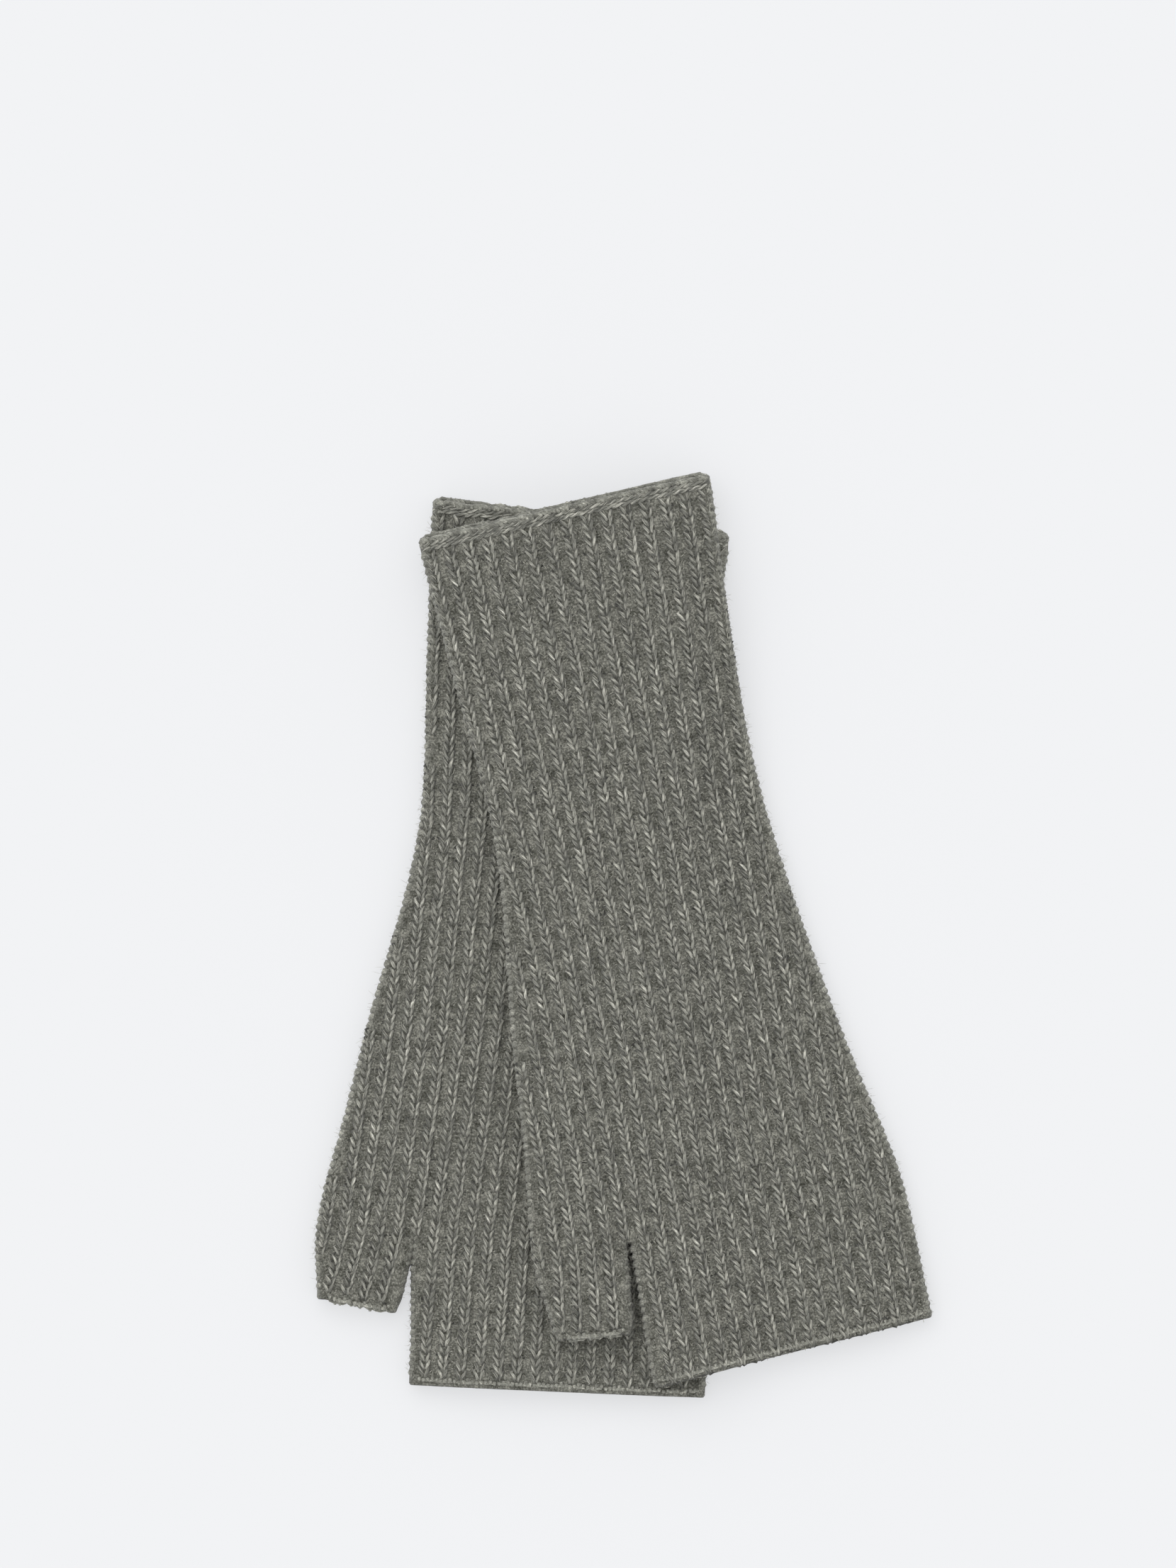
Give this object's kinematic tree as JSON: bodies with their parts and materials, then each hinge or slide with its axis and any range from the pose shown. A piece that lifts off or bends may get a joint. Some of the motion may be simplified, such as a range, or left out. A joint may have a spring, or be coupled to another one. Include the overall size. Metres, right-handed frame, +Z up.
{
  "type": "fingerless gloves",
  "caption": "Pair of long ribbed wool fingerless gloves, flared towards the hand, each with a short open thumb, lying flat with one crossed over the other.",
  "frame": {"origin": "middle of the footprint, on the surface the gloves lie on", "axes": "+Y from the fingers towards the cuffs, +Z up from the surface, +X to the side away from the thumbs"},
  "size_m": [0.1986, 0.2972, 0.02],
  "materials": {
    "rib_knit": "heather woollen rib knit",
    "side_seam": "knitted side seam",
    "bound_edge": "bound-off knitted edge"
  },
  "bodies": {
    "lower_glove": {"lower_arm_back_panel": "rib_knit", "lower_arm_palm_panel": "rib_knit", "lower_arm_outer_seam": "side_seam", "lower_arm_thumb_side_seam": "side_seam", "lower_cuff_edge": "bound_edge", "lower_hand_back_panel": "rib_knit", "lower_hand_palm_panel": "rib_knit", "lower_hand_outer_seam": "side_seam", "lower_hand_thumb_side_seam": "side_seam", "lower_slot_hand_seam": "side_seam", "lower_finger_edge": "bound_edge"},
    "lower_thumb": {"lower_thumb_back_panel": "rib_knit", "lower_thumb_palm_panel": "rib_knit", "lower_thumb_outer_seam": "side_seam", "lower_slot_thumb_seam": "side_seam", "lower_thumb_edge": "bound_edge"},
    "upper_hand": {"upper_hand_back_panel": "rib_knit", "upper_hand_palm_panel": "rib_knit", "upper_hand_outer_seam": "side_seam", "upper_hand_thumb_side_seam": "side_seam", "upper_slot_hand_seam": "side_seam", "upper_finger_edge": "bound_edge"},
    "upper_arm": {"upper_arm_back_panel": "rib_knit", "upper_arm_palm_panel": "rib_knit", "upper_arm_outer_seam": "side_seam", "upper_arm_thumb_side_seam": "side_seam", "upper_cuff_edge": "bound_edge"},
    "upper_thumb": {"upper_thumb_back_panel": "rib_knit", "upper_thumb_palm_panel": "rib_knit", "upper_thumb_outer_seam": "side_seam", "upper_slot_thumb_seam": "side_seam", "upper_thumb_edge": "bound_edge"}
  },
  "joints": [
    {"name": "upper_lift", "type": "slide", "parent": "lower_glove", "child": "upper_hand", "axis": [0, 0, 1], "range_m": [0, 0.15]},
    {"name": "upper_wrist_fold", "type": "hinge", "parent": "upper_hand", "child": "upper_arm", "pos_m": [0.00238, 0.02981, 0.0203], "axis": [0.9703, 0.2419, 0], "range_deg": [0, 135]},
    {"name": "upper_thumb_fold", "type": "hinge", "parent": "upper_hand", "child": "upper_thumb", "pos_m": [-0.01415, -0.10108, 0.0203], "axis": [-0.9703, -0.2419, 0], "range_deg": [0, 150]},
    {"name": "lower_thumb_fold", "type": "hinge", "parent": "lower_glove", "child": "lower_thumb", "pos_m": [-0.08335, -0.09541, 0.0101], "axis": [-0.999, 0.0436, 0], "range_deg": [0, 150]}
  ]
}
